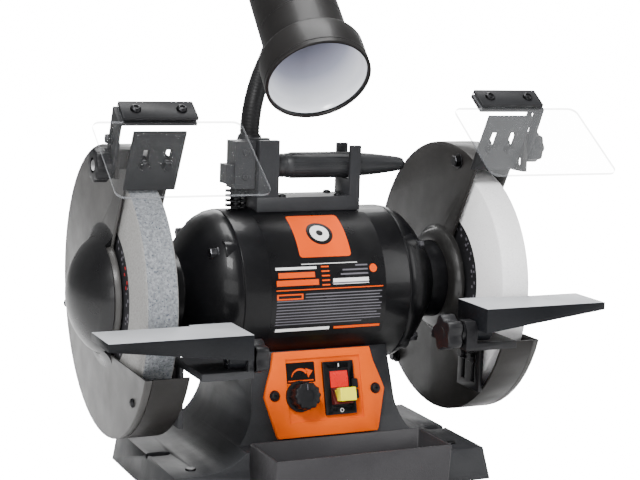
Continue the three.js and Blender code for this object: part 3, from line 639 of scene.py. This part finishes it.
bm = new()
inside = [(3.4, 40.8), (3.2, 40.5), (3.6, 40.2), (10, 38.4), (20, 35.4), (27, 32.6), (31, 31.2), (40, 28.4),
          (50, 24.8),
          (60, 20.3), (67, 16.6), (70.4, 15.2)]
behind = [(along + 1.2, radius + 0.75) for along, radius in reversed(inside[3:])]
lathe(bm, inside + behind + [(4.6, 41.2)], AIM, MOUTH, 96, True)
drawn(bm, "lamp_reflector_spun", "enamel", "lamp", crease=50, hides=("lamp_reflector",))

bm = new()
lathe(bm, [(58, 0), (58.3, 3), (59.4, 6.4), (61.6, 9.4), (64.8, 11.4), (68, 12.2), (72, 12.4), (76, 12.1)],
      AIM,
      MOUTH, 48)
lathe(bm, [(76, 12.1), (78, 12.6), (80, 11.4), (128, 11.4), (128, 0)], AIM, MOUTH, 32, slot=1)
drawn(bm, "lamp_bulb_glass", ("bulb", "zinc"), "lamp", crease=40, hides=("lamp_bulb",))

bm = new()
u, v, w = turning(AIM)
for k in range(10):
    t = 2 * math.pi * k / 10
    out = u * math.cos(t) + v * math.sin(t)
    side = w.cross(out)
    slab(bm, rounded(rectangle(-9, 9, -1.2, 1.2), 1.1), (w, side, out, MOUTH + w * 100), 33.6, 34.85)
drawn(bm, "lamp_vents", "dark_steel", "lamp")

# Motor: the plate on its can, with plain bars for lines of text
REACH = 66.66


def wrapped(bm, points, slot=0, lift=0.0, step=4.0):
    """A flat outline, in mm across and degrees round from the top, laid on the motor's can."""
    flat = bmesh.new()
    flat.faces.new([flat.verts.new((p[0], p[1], 0)) for p in points])
    low, high = min(p[1] for p in points), max(p[1] for p in points)
    cuts = int((high - low) // step)
    for k in range(1, cuts + 1):
        bmesh.ops.bisect_plane(flat, geom=flat.verts[:] + flat.edges[:] + flat.faces[:],
                               plane_co=(0, low + (high - low) * k / (cuts + 1), 0), plane_no=(0, 1, 0))
    made = {}
    for vert in flat.verts:
        t, r = math.radians(vert.co.y), REACH + lift
        made[vert] = bm.verts.new((vert.co.x, -r * math.sin(t), r * math.cos(t)))
    for face in flat.faces:
        bm.faces.new([made[vert] for vert in face.verts]).material_index = slot
    flat.free()


def bar(bm, x0, x1, a0, a1, slot, lift=0.08):
    wrapped(bm, rectangle(x0, x1, a0, a1), slot, lift)


bm = new()
wrapped(bm, rounded(rectangle(-51, 51, 17, 118), 2), 0)
wrapped(bm, rounded([(-24, 21), (22, 21), (22, 60), (-24, 60)], [3, 3, 3, 3]), 1, 0.08)
ring = [((-1) + 11.5 * math.cos(t),
         40.5 + 10 * math.sin(t)) for t in (2 * math.pi * k / 40 for k in range(40))]
wrapped(bm, ring, 0, 0.12)
wrapped(bm, [(-1 + (p[0] + 1) * 0.72, 40.5 + (p[1] - 40.5) * 0.72) for p in ring], 2, 0.16)
wrapped(bm, [(-1 + (p[0] + 1) * 0.26, 40.5 + (p[1] - 40.5) * 0.26) for p in ring], 0, 0.2)
bar(bm, -24, 26, 64.6, 65.1, 2)
for k, (x0, x1, finish) in enumerate(((-47, -11, 2), (-45, -13, 1), (-47, -10, 1))):
    bar(bm, x0, x1, (66.6, 70.4, 75.6)[k], (68.4, 74.2, 79.6)[k], finish)
for k in range(5):
    bar(bm, -7, 0, 66.6 + 3.2 * k, 67.6 + 3.2 * k, 1)
for k, start in ((0, 24), (1, 12), (2, 10), (4, 2)):
    bar(bm, start, 35, 66.4 + 3 * k, 67.5 + 3 * k, 3)
bar(bm, 2.8, 35, 75.8, 79.9, 2)
wrapped(bm,
        [(40 + 3.4 * math.cos(t), 69.5 + 3 * math.sin(t)) for t in (math.pi * k / 12 for k in range(24))], 1,
        0.08)
bar(bm, -47.5, 48, 82.2, 82.9, 1)
bar(bm, -47, -24, 85.2, 89.2, 1)
bar(bm, -45.5, -25.5, 86.2, 88.2, 0, 0.12)
for k in range(11):
    a = 85.4 + 2.15 * k
    bar(bm, -22 if k < 2 else -47, (47, 45, 47, 44, 47, 46, 47, 43, 47, 47, 30)[k], a, a + 0.75, 3)
bar(bm, -46, 2, 110.6, 113, 2)
bar(bm, 6, 48, 110.8, 112.8, 1)
for p in bm.faces:
    p.smooth = True
drawn(bm, "motor_plate", ("label", "label_orange", "label_white", "label_grey"), "base", crease=60)

# Bolts that hold the bells, each standing in a cup on the bell's shoulder
BOLT_CIRCLE = 56.5
bm = new()
for side, sg in SIDES:
    for turn in (48.5, 138.5, 228.5, 318.5):
        a = math.radians(turn)
        out = Vector((0, -math.sin(a), math.cos(a)))
        lathe(bm, [(sg * 75, 10), (sg * 84.6, 10), (sg * 85.6, 9.4), (sg * 85.6, 8.6), (sg * 75, 7.6)], X,
              out * BOLT_CIRCLE, 32, True)
        lathe(bm, [(sg * 75, 0), (sg * 75, 3.1), (sg * 89.4, 3.1), (sg * 89.4, 0)], X, out * BOLT_CIRCLE, 16,
              slot=1)
        hex_bolt(bm, out * BOLT_CIRCLE + X * sg * 89.2, X * sg, 7.6, 6, 4.8, slot=1)
drawn(bm, "bell_bolts", ("motor", "bolt"), "base", bevel=0.3, crease=40)

bm = new()
for side, sg in SIDES:
    lathe(bm, [(sg * 74.05, 64), (sg * 74.05, 66.3), (sg * 74.25, 66.3), (sg * 74.25, 64)], X, (0, 0, 0), 96,
          True)
drawn(bm, "bell_gaskets", "black", "base", crease=30)

# Control panel
LEAN = 0.281
ACROSS, OUT, UP = X, Vector((0, -math.cos(LEAN), math.sin(LEAN))), Vector((0, math.sin(LEAN), math.cos(LEAN)))
PANEL = (ACROSS, UP, OUT, Vector((0, -73.2, 50.2)))


def on_panel(x, v, out=0.0):
    return PANEL[3] + ACROSS * x + UP * v + OUT * out


bm = new()
for x in (-45.5, 45.5):
    lathe(bm, [(-0.3, 0), (-0.3, 4.3), (0.5, 4.6), (0.9, 4.2), (0.9, 0)], OUT, on_panel(x, 35), 28)
    screw(bm, on_panel(x, 35, 0.9), OUT, 3.7, 2.4)
drawn(bm, "panel_screws", ("black", "dark_steel"), "base", at=FLOOR, bevel=0.1)

bm = new()
slab(bm, rounded(rectangle(-33, -7.4, 44, 60.6), 1), PANEL, -2.02, -1.75)
arc = [(-20.4 + 8.4 * math.cos(math.radians(a)), 47.4 + 8.4 * math.sin(math.radians(a))) for a in range(168,
                        28, -10)]
inner = [(-20.4 + (7.9 - 0.16 * k) * math.cos(math.radians(a)),
          47.4 + (7.9 - 0.16 * k) * math.sin(math.radians(a)))
         for k, a in enumerate(range(168, 28, -10))]
slab(bm, arc + inner[::-1], PANEL, -1.75, -1.6, 1)
slab(bm, [(-15.6, 55.6), (-9.2, 53.4), (-13.6, 47.8)], PANEL, -1.75, -1.6, 1)
slab(bm, rounded(rectangle(-31.6, -9, 45.2, 46.2), 0.3), PANEL, -1.75, -1.66, 1)
for k in (1, 2, 3, 7, 8):   # marks at the sides only, clear of the plate above
    a = math.radians(215 - 25 * k)
    mark = on_panel(-23 + 15.4 * math.cos(a), 33 + 15.4 * math.sin(a), -2)
    d = ACROSS * math.cos(a) + UP * math.sin(a)
    slab(bm, rectangle(-1.2, 1.2, -0.35, 0.35), (d, OUT.cross(d), OUT, mark), 0, 0.15)
drawn(bm, "panel_marks", ("label", "label_orange"), "base", at=FLOOR)

bm = new()
slab(bm, rounded(rectangle(-1, 26.6, 15.8, 59.5), 2.2), PANEL, -1.7, -0.4)
for x0, x1, v0, v1 in ((-0.4, 4.4, 16.4, 58.9), (21.8, 26, 16.4, 58.9), (4.4, 21.8, 53.7, 58.9),
                       (4.4, 21.8, 16.4, 21.8)):
    slab(bm, rectangle(x0, x1, v0, v1), PANEL, -0.6, 1.2)
for v0 in (27.4, 36.2):
    slab(bm, rounded(rectangle(23.6, 28.6, v0, v0 + 8), 1.6), PANEL, -1.6, 3.2)
slab(bm, rectangle(12.6, 13.5, 54.8, 57.6), PANEL, 1.2, 1.3, 1)
circle = [(13.1 + 1.7 * math.cos(2 * math.pi * k / 20),
           19.1 + 1.7 * math.sin(2 * math.pi * k / 20)) for k in range(20)]
hole = [(13.1 + (p[0] - 13.1) * 0.66, 19.1 + (p[1] - 19.1) * 0.66) for p in circle]
slab(bm, circle, PANEL, 1.2, 1.3, 1)
slab(bm, hole, PANEL, 1.2, 1.34)
drawn(bm, "switch_bezel", ("black", "label_white"), "base", at=FLOOR, bevel=0.5, segments=3)

bm = new()
side_view = [(9, 37.9), (9, 51), (1.2, 52.7), (0.2, 51), (-0.5, 45), (-0.3, 37.9)]
low_view = [(9, 24.6), (9, 37.7), (-0.3, 37.7), (-3.6, 31.4), (-6.9, 24.4), (-5.4, 23.9), (2, 24.1)]
SECTION = (Vector((0, math.cos(LEAN), -math.sin(LEAN))), UP, ACROSS, PANEL[3])
slab(bm, side_view, SECTION, 5, 21.2)
slab(bm, low_view, SECTION, 5, 7.2, 1)
slab(bm, low_view, SECTION, 21, 21.2, 1)
slab(bm, rounded(low_view, 0.3), SECTION, 5.2, 21.1, 1)
drawn(bm, "rocker_cap", ("red", "maroon"), "rocker", at=FLOOR, bevel=0.7, segments=3,
      hides=("switch_rocker",))

bm = new()
lobed(bm, 11.4, 1.0, 12, (ACROSS, UP, OUT, on_panel(-22.4, 33)), 0.4, 15.5, 144, 0.6)
lathe(bm, [(-1.7, 0), (-1.7, 9.6), (0.3, 9.8), (0.5, 12.9), (2.2, 12.7), (2.4, 11), (2.4, 0)], OUT,
      on_panel(-23, 33), 48)
slab(bm, rectangle(-0.3, 0.3, 4.5, 9.2), (ACROSS, UP, OUT, on_panel(-22.4, 33)), 15.2, 15.6, 1)
drawn(bm, "speed_knob_moulded", ("black", "label_grey"), "dial", at=FLOOR, crease=50, hides=("speed_knob",))

# Base: foot screws, side screws, and the vent plate with its bolts
bm = new()
for x in (-118, 118):
    for y in (-68, 44):
        lathe(bm, [(30.8, 0), (30.8, 4.4), (31.6, 4.4), (32.2, 3.6), (32.2, 0)], Z, (x, y, 0), 24)
screw(bm, (-62.2, -12, 58), -X, 3.2, 1.8)
screw(bm, (62.2, -12, 58), X, 3.2, 1.8)
for x in (-30, 30):
    hex_bolt(bm, (x, 57.2 - (96 - 46) * 0.0759, 96), Y, 8, 4, 6, slot=0)
drawn(bm, "base_fixings", ("dark_steel", "black"), "base", at=FLOOR, bevel=0.2)

bm = new()
slab(bm, rounded(rectangle(-34, 34, 60, 88), 2), (X, Z, Y, (0, 55.2, 0)), -1.2, 0.9)
for x in (-20, -10, 0, 10, 20):
    slab(bm, rounded(rectangle(x - 3, x + 3, 64, 84), 1.4), (X, Z, Y, (0, 55.2, 0)), 0.85, 1.0, 1)
drawn(bm, "rear_vent_plate", ("black", "dark_steel"), "base", at=FLOOR, bevel=0.5)

# Wheels' paper blotters, printed with rows of small marks and one red patch
BLOTTER = 58.5
for side, sg in SIDES:
    bm = new()
    for x, outward in ((141.75, -1), (167.0, 1)):
        face = sg * (x + outward * 0.22)
        lathe(bm, [(sg * x, 8.3), (sg * x, BLOTTER), (face, BLOTTER), (face, 8.3)], X, (0, 0, 0), 96, True)
        for row, lowest in enumerate((BLOTTER - 4.6, BLOTTER - 8.4)):
            for k in range(40):
                a0 = math.radians(9 * k + 3 * (k % 3) + 4 * row)
                wide = math.radians((4.2, 2.6, 5.4)[k % 3])
                arc = [(math.cos(a) * r, math.sin(a) * r) for r, turns in
                       ((lowest + 2.2, (0, 0.5, 1)),
                        (lowest, (1, 0.5, 0))) for a in (a0 + wide * j for j in turns)]
                slab(bm, arc, (Y, Z, X * sg * outward, (face, 0, 0)), -0.03, 0.04,
                     2 if k in (16, 17) and side == "left" else 1)
    drawn(bm, f"{side}_blotters", ("paper", "label_grey", "label_red"), "spindle_assembly")

# Guards: cover screws, the domed middle with its flared foot, and bolts through the inner plate
DOME = [(4.6, 47.4), (8, 45.4), (12, 42.2), (13.6, 40.6), (14.1, 39.8), (14.9, 38.9), (18, 35), (21, 30.2),
        (23.6, 25),
        (26, 18.5), (27.8, 11.5), (28.8, 5), (29, 0)]
FLARE = [(0.05, 58), (0.5, 55), (1.6, 52.2), (3, 50), (4.2, 48.6), (5.4, 47.2), (2, 46), (-0.5, 46),
         (-0.5, 58)]


def partly_turned(bm, profile, sg, start, end, steps, slot=0):
    """A closed (along, radius) profile turned about the spindle between two angles, up from the front."""
    rings = []
    for i in range(steps + 1):
        t = math.radians(start + (end - start) * i / steps)
        rings.append([bm.verts.new((sg * (171 + along), -math.cos(t) * r, math.sin(t) * r)) for along,
                      r in profile])
    for a, b in zip(rings, rings[1:]):
        for i in range(len(profile)):
            j = (i + 1) % len(profile)
            bm.faces.new((a[i], a[j], b[j], b[i])).material_index = slot
    bm.faces.new(rings[0]).material_index = slot
    bm.faces.new(rings[-1]).material_index = slot


for side, sg in SIDES:
    bm = new()
    for y, z in ((-82.5, -69), (104.5, -27), (82, 70), (20, -104), (-2, 110))[:2 if side == "left" else 5]:
        screw(bm, (sg * 171, y, z), X * sg, 3.6, 2.6)
    drawn(bm, f"{side}_cover_screws", ("dark_steel", "black"), "base", bevel=0.15)
    bm = new()
    inner = [(along - 0.9, max(radius - 1.2, 0)) for along, radius in reversed(DOME)]
    lathe(bm, [(sg * (171 + along), radius) for along, radius in DOME + inner], X, (0, 0, 0), 96, True)
    partly_turned(bm, FLARE, sg, 64, 298 if side == "left" else 312, 72)
    drawn(bm, f"{side}_dome", "dome", "base", crease=24)
    bm = new()
    for y, z in ((-29.4, 106.8), (98, 30), (70, -86)):
        hex_bolt(bm, (sg * 135.7, y, z), -X * sg, 9, 4.6, 6.5)
    for k in range(3):
        a = math.radians(30 + 120 * k)
        hex_bolt(bm, (sg * 138, 27.5 * math.cos(a), 27.5 * math.sin(a)), X * sg, 7, 3.2)
    drawn(bm, f"{side}_plate_bolts", "dark_steel", "base", bevel=0.2)
    bm = new()
    lathe(bm, [(sg * 135.9, 33.8), (sg * 135.9, 48), (sg * 135.2, 46.4), (sg * 133.2, 44.6),
               (sg * 130.4, 42.6),
               (sg * 128.6, 39.6), (sg * 128, 36), (sg * 128, 33.8)], X, (0, 0, 0), 72, True)
    drawn(bm, f"{side}_plate_boss", "boss", "base", crease=40)

# Spark deflectors' bolts, on the plane across the upper lip; they slide with the deflectors
BOLT_REACH = {"left": 128.5, "right": 140.3}
LIP = math.radians(61)
RADIAL, AHEAD = Vector((0, -math.cos(LIP), math.sin(LIP))), Vector((0, -math.sin(LIP), -math.cos(LIP)))
for side, sg in SIDES:
    bm = new()
    for x in (141, 159):
        at = X * sg * x + RADIAL * BOLT_REACH[side] + AHEAD * 2.8
        hex_bolt(bm, at, AHEAD, 7, 3.4, 4.6)
        lathe(bm, [(-8, 0), (-8, 2.3), (0, 2.3), (0, 0)], AHEAD, at, 12)
        hex_bolt(bm, at - AHEAD * 6, -AHEAD, 7, 3, 4.6)
    drawn(bm, f"{side}_deflector_bolts", "dark_steel", f"{side}_deflector", bevel=0.2)

# Eye shields: screws on the strips, bolts in the arms, moulded knobs
REAR, LIFT = Vector((0, math.cos(TILT), math.sin(TILT))), Vector((0, -math.sin(TILT), math.cos(TILT)))
for side, sg in SIDES:
    top, inset = (111.3, 0) if side == "left" else (121.8, 7)
    pivot = Vector((-sg * inset, -63, top))
    rim = pivot + Vector((0, -28, 34.2))
    bm = new()
    for x in (137, 155, 173):
        if x != 155:
            socket_screw(bm, rim + X * sg * x + REAR * 10.5 + LIFT * 3.8, LIFT, 4.2, 2.6)
        lathe(bm, [(-6.1, 0), (-6.1, 2.6), (-3.7, 2.6), (-3.7, 0)], LIFT, rim + X * sg * x + REAR * 10.5, 6)
    drawn(bm, f"{side}_strip_screws", ("dark_steel", "black"), f"{side}_shield", bevel=0.1)
    bm = new()
    lobed(bm, 13, 1.5, 8, (Y, Z, X * sg, pivot), 187.4, 199, 96, 1.2)
    lathe(bm, [(181.7, 0), (181.7, 2.9), (188, 2.9), (188, 0)], X * sg, pivot, 20, slot=1)
    lathe(bm, [(197, 0), (197, 4), (198.6, 4.2), (199.2, 3.4), (199.2, 0)], X * sg, pivot, 20, slot=1)
    drawn(bm, f"{side}_shield_knob_moulded", ("black", "zinc"), f"{side}_shield_slide", crease=45,
          hides=(f"{side}_shield_knob",))
    bm = new()
    hex_bolt(bm, pivot + Vector((sg * 187.1, -8.2, 20.5)), X * sg, 7, 3.4, 5)
    drawn(bm, f"{side}_arm_bolt", "dark_steel", f"{side}_shield", bevel=0.2)

# Tool rests: knobs and strap bolts, and a machined top on a painted casting
for side, sg in SIDES:
    top = -6.8 if side == "left" else 1.7
    pivot = Vector((0, -127, top - 21.7))
    bm = new()
    radius, near, far = (13.5, 83, 93.7) if side == "left" else (15, 70, 83)
    lobed(bm, radius, radius * 0.24, 5, (Y, Z, X * sg, pivot), near, far, 110, 0.0)
    if side == "right":
        lathe(bm, [(82.5, 3.9), (82.5, 9.2), (86, 8.6), (88.2, 8.2), (88.2, 3.9)], X * sg, pivot, 32, True)
    lathe(bm, [(near - 0.4, 0), (near - 0.4, 5), (near + 0.6, 5.4), (near + 1, 5.4), (near + 1, 0)], X * sg,
          pivot, 24)
    lathe(bm, [(far - 0.5, 0), (far - 0.5, 3.8), (111.4, 3.8), (112, 3.2), (112, 0)], X * sg, pivot, 20,
          slot=1)
    drawn(bm, f"{side}_rest_knob_moulded", ("black", "zinc"), f"{side}_rest_knob_body", crease=45,
          hides=(f"{side}_rest_knob",))
    bm = new()
    for y in (-76, -60):
        hex_bolt(bm, (sg * 131.6, y, top - 56), -X * sg, 8, 3.6, 5.4)
    drawn(bm, f"{side}_strap_bolts", "dark_steel", "base", bevel=0.2)
    rest = NODES[f"{side}_tool_rest"]
    rest.data.materials.append(M["rest_side"])
    for p in rest.data.polygons:
        p.material_index = 0 if p.normal.z > 0.9 else 1

# Dresser: a fluted grip and the head that holds the star wheels
bm = new()
lathe(bm, [(-45.5, 0), (-45.5, 6), (-24.5, 6), (-24.3, 8.4), (-23.4, 9.2), (-21, 9.7), (-17, 10),
           (-16.4, 9.6), (-15, 9.6),
           (-14.4, 10.2), (-6, 10.6), (8, 10.9), (26, 10.7), (46, 10.2), (52, 10.1), (58, 9.7), (68, 8.9),
           (80, 7.6),
           (88, 6.6), (93, 5.8), (95.6, 4.8), (96.8, 3.2), (97, 0)], X, (0, 0, 102), 64)
for k in range(16):
    a = 2 * math.pi * k / 16
    out = Y * math.cos(a) + Z * math.sin(a)
    slab(bm, rounded(rectangle(-10, 46, -0.7, 0.7), 0.6), (X, X.cross(out), out, (0, 0, 102)), 9.8, 11)
drawn(bm, "dresser_grip", "grip", "dresser", crease=50)
bm = new()
box(bm, -63, -45.3, -10, 10, 84, 123)
box(bm, -70, -62, -7, 7, 88, 104)
lathe(bm, [(67.4, 0), (67.4, 2.6), (90, 2.6), (90, 0)], Z, (-58, 0, 0), 24)
lathe(bm, [(66.6, 0), (66.6, 4.2), (67.2, 4.4), (68, 4.4), (68, 0)], Z, (-58, 0, 0), 6)
screw(bm, (-54, -10, 114), -Y, 3, 1.8)
screw(bm, (-54, -10, 94), -Y, 3, 1.8)
dresser_head = drawn(bm, "dresser_head", ("cast", "black"), "dresser", bevel=1.4, segments=3)
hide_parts("dresser_handle")

bm = new()
for x, y in ((-21, -11), (-21, 11), (30, -11), (30, 11)):
    socket_screw(bm, (x, y, 77), Z, 3.4, 2.2)
drawn(bm, "cradle_screws", ("dark_steel", "black"), "base", bevel=0.1)
